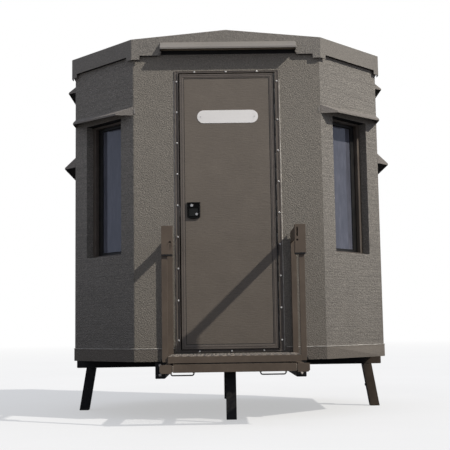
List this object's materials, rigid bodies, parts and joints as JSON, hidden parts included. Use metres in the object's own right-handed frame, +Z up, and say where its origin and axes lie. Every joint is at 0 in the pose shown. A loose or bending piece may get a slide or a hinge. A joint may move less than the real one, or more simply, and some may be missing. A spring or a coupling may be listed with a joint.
{
  "type": "elevated hunting blind",
  "caption": "Eight-sided insulated hunting cabin on a splayed steel stand, with a front deck and handrails, an outward door and inward-opening hooded windows.",
  "frame": {"origin": "centre of the whole bounding box at ground level, on the plane the feet rest on", "axes": "+Z up, -Y is the door and deck side, +X to the right of a person facing the door"},
  "size_m": [2.242, 2.39, 2.479],
  "materials": {
    "coated_wall": "coarse sprayed coating, matt",
    "roof_shell": "coarse sprayed coating, matt",
    "brown_sheet": "powder coat",
    "black_steel": "satin black",
    "brown_steel": "powder coat",
    "deck_grating": "powder coated expanded mesh",
    "dark_steel": "dark plated",
    "floor_board": "sealed board",
    "roof_board": "board",
    "trim_brown": "satin powder coat",
    "door_brown": "satin sheet",
    "door_board": "board",
    "white_plate": "satin white",
    "zinc_steel": "zinc plated",
    "seal_rubber": "matt",
    "latch_black": "satin black",
    "window_frame": "satin bronze",
    "sash_black": "satin black",
    "tinted_glass": "grey tint"
  },
  "bodies": {
    "cabin": {"base_frame": "black_steel", "legs": "black_steel", "frame_bolts": "dark_steel", "deck_frame": "brown_steel", "deck_mesh": "deck_grating", "deck_carrier": "brown_steel", "step_loops": "dark_steel", "handrail_left": "brown_steel", "handrail_right": "brown_steel", "floor_pan": "floor_board", "base_skirt": "coated_wall", "wall_front": "coated_wall", "wall_rear": "coated_wall", "side_walls": "coated_wall", "corner_walls": "coated_wall", "corner_brackets": "black_steel", "corner_hoods": "brown_sheet", "low_hoods": "brown_sheet", "vent_hoods": "brown_sheet", "roof_core": "roof_board", "roof_cap": "roof_shell", "door_canopy": "brown_sheet", "door_frame": "trim_brown", "trim_screws": "zinc_steel", "door_seal": "seal_rubber", "strike_plate": "zinc_steel", "hinge_frame_leaf": "trim_brown", "hinge_pin": "dark_steel", "tall_window_frames": "window_frame", "low_window_frames": "window_frame"},
    "door": {"door_skin": "door_brown", "door_edge_frame": "trim_brown", "door_core": "door_board", "nameplate": "white_plate", "door_screws": "zinc_steel", "latch_housing": "latch_black", "hinge_door_leaf": "trim_brown"},
    "paddle": {"latch_paddle": "latch_black"},
    "bolt": {"latch_bolt": "zinc_steel"},
    "window_front_left_leaf": {"sash_front_left": "sash_black", "glass_front_left": "tinted_glass"},
    "latch_front_left_lever": {"turn_front_left": "latch_black"},
    "window_front_right_leaf": {"sash_front_right": "sash_black", "glass_front_right": "tinted_glass"},
    "latch_front_right_lever": {"turn_front_right": "latch_black"},
    "window_rear_left_leaf": {"sash_rear_left": "sash_black", "glass_rear_left": "tinted_glass"},
    "latch_rear_left_lever": {"turn_rear_left": "latch_black"},
    "window_rear_right_leaf": {"sash_rear_right": "sash_black", "glass_rear_right": "tinted_glass"},
    "latch_rear_right_lever": {"turn_rear_right": "latch_black"},
    "window_left_leaf": {"sash_left": "sash_black", "glass_left": "tinted_glass"},
    "latch_left_lever": {"turn_left": "latch_black"},
    "window_right_leaf": {"sash_right": "sash_black", "glass_right": "tinted_glass"},
    "latch_right_lever": {"turn_right": "latch_black"},
    "window_rear_leaf": {"sash_rear": "sash_black", "glass_rear": "tinted_glass"},
    "latch_rear_lever": {"turn_rear": "latch_black"}
  },
  "joints": [
    {"name": "door_swing", "type": "hinge", "parent": "cabin", "child": "door", "pos_m": [0.305, -0.739, 0.437], "axis": [0, 0, 1], "range_deg": [0, 95]},
    {"name": "latch_lift", "type": "hinge", "parent": "door", "child": "paddle", "pos_m": [-0.22, -0.737, 1.319], "axis": [-1, 0, 0], "range_deg": [0, 35]},
    {"name": "bolt_slide", "type": "slide", "parent": "door", "child": "bolt", "axis": [1, 0, 0], "range_m": [0, 0.012]},
    {"name": "window_front_left", "type": "hinge", "parent": "cabin", "child": "window_front_left_leaf", "pos_m": [-0.61598, -0.55371, 1.485], "axis": [0, 0, -1], "range_deg": [0, 90]},
    {"name": "latch_front_left", "type": "hinge", "parent": "window_front_left_leaf", "child": "latch_front_left_lever", "pos_m": [-0.85922, -0.32036, 1.485], "axis": [0.7071, 0.7071, 0], "range_deg": [0, 90]},
    {"name": "window_front_right", "type": "hinge", "parent": "cabin", "child": "window_front_right_leaf", "pos_m": [0.61598, -0.55371, 1.485], "axis": [0, 0, 1], "range_deg": [0, 90]},
    {"name": "latch_front_right", "type": "hinge", "parent": "window_front_right_leaf", "child": "latch_front_right_lever", "pos_m": [0.85922, -0.32036, 1.485], "axis": [0.7071, -0.7071, 0], "range_deg": [0, 90]},
    {"name": "window_rear_left", "type": "hinge", "parent": "cabin", "child": "window_rear_left_leaf", "pos_m": [-0.61598, 0.94171, 1.485], "axis": [0, 0, 1], "range_deg": [0, 90]},
    {"name": "latch_rear_left", "type": "hinge", "parent": "window_rear_left_leaf", "child": "latch_rear_left_lever", "pos_m": [-0.85922, 0.70836, 1.485], "axis": [-0.7071, 0.7071, 0], "range_deg": [0, 90]},
    {"name": "window_rear_right", "type": "hinge", "parent": "cabin", "child": "window_rear_right_leaf", "pos_m": [0.61598, 0.94171, 1.485], "axis": [0, 0, -1], "range_deg": [0, 90]},
    {"name": "latch_rear_right", "type": "hinge", "parent": "window_rear_right_leaf", "child": "latch_rear_right_lever", "pos_m": [0.85922, 0.70836, 1.485], "axis": [-0.7071, -0.7071, 0], "range_deg": [0, 90]},
    {"name": "window_left", "type": "hinge", "parent": "cabin", "child": "window_left_leaf", "pos_m": [-0.928, 0.194, 1.66], "axis": [0, -1, 0], "range_deg": [0, 90]},
    {"name": "latch_left", "type": "hinge", "parent": "window_left_leaf", "child": "latch_left_lever", "pos_m": [-0.935, 0.194, 1.382], "axis": [1, 0, 0], "range_deg": [0, 90]},
    {"name": "window_right", "type": "hinge", "parent": "cabin", "child": "window_right_leaf", "pos_m": [0.928, 0.194, 1.66], "axis": [0, 1, 0], "range_deg": [0, 90]},
    {"name": "latch_right", "type": "hinge", "parent": "window_right_leaf", "child": "latch_right_lever", "pos_m": [0.935, 0.194, 1.382], "axis": [-1, 0, 0], "range_deg": [0, 90]},
    {"name": "window_rear", "type": "hinge", "parent": "cabin", "child": "window_rear_leaf", "pos_m": [0, 1.002, 1.66], "axis": [-1, 0, 0], "range_deg": [0, 90]},
    {"name": "latch_rear", "type": "hinge", "parent": "window_rear_leaf", "child": "latch_rear_lever", "pos_m": [0, 1.009, 1.382], "axis": [0, -1, 0], "range_deg": [0, 90]}
  ],
  "couplings": [
    {"joint": "bolt_slide", "follows": "latch_lift", "m_per_rad": 0.0196}
  ]
}
